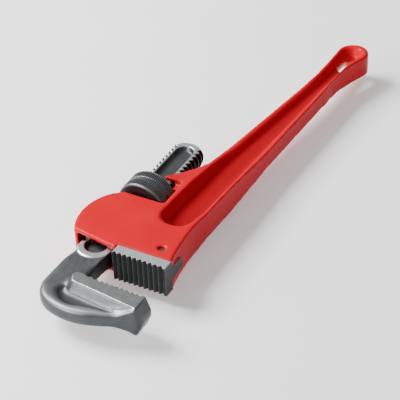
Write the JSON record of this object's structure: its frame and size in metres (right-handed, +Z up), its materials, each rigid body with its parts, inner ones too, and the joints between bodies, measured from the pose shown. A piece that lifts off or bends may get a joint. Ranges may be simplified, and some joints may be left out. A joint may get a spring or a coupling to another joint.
{
  "type": "pipe wrench",
  "caption": "Straight pipe wrench with a cast I-beam handle, a threaded hook jaw, a knurled adjusting nut and a toothed heel jaw.",
  "frame": {"origin": "bottom centre of the bounding box, with the wrench lying on one flat side", "axes": "+X runs along the hook jaw's shank from the jaws towards the hanging end of the handle; +Y runs across the shank, away from the handle; +Z is up through the thickness"},
  "size_m": [0.4618, 0.1185, 0.0462],
  "materials": {
    "red_enamel": "glossy enamel over a cast surface",
    "forged_steel": "forged and heat treated, ground lands",
    "ground_steel": "ground side faces, dark teeth",
    "nut_steel": "dark knurled steel",
    "spring_steel": "blued spring steel",
    "pin_steel": "plain steel"
  },
  "bodies": {
    "handle": {"handle_casting": "red_enamel", "heel_jaw": "ground_steel", "heel_jaw_pin": "pin_steel"},
    "jaw_springs": {"flat_spring": "spring_steel", "coil_spring": "spring_steel", "spring_rivet": "pin_steel"},
    "hook_jaw": {"hook_jaw": "forged_steel"},
    "nut": {"adjusting_nut": "nut_steel"}
  },
  "joints": [
    {"name": "jaw_rock", "type": "hinge", "parent": "handle", "child": "jaw_springs", "pos_m": [-0.0693, 0.02605, 0.0231], "axis": [0, 0, 1], "range_deg": [-1, 1.5], "stiffness_Nm_per_rad": 14, "deforming": ["coil_spring"]},
    {"name": "jaw_slide", "type": "slide", "parent": "jaw_springs", "child": "hook_jaw", "axis": [1, 0, 0], "range_m": [-0.0391, 0.0316]},
    {"name": "nut_spin", "type": "hinge", "parent": "jaw_springs", "child": "nut", "pos_m": [-0.0693, 0.02605, 0.0231], "axis": [1, 0, 0], "range_deg": [-2025, 2505]}
  ],
  "couplings": [
    {"joint": "jaw_slide", "follows": "nut_spin", "m_per_rad": -0.00089127}
  ]
}
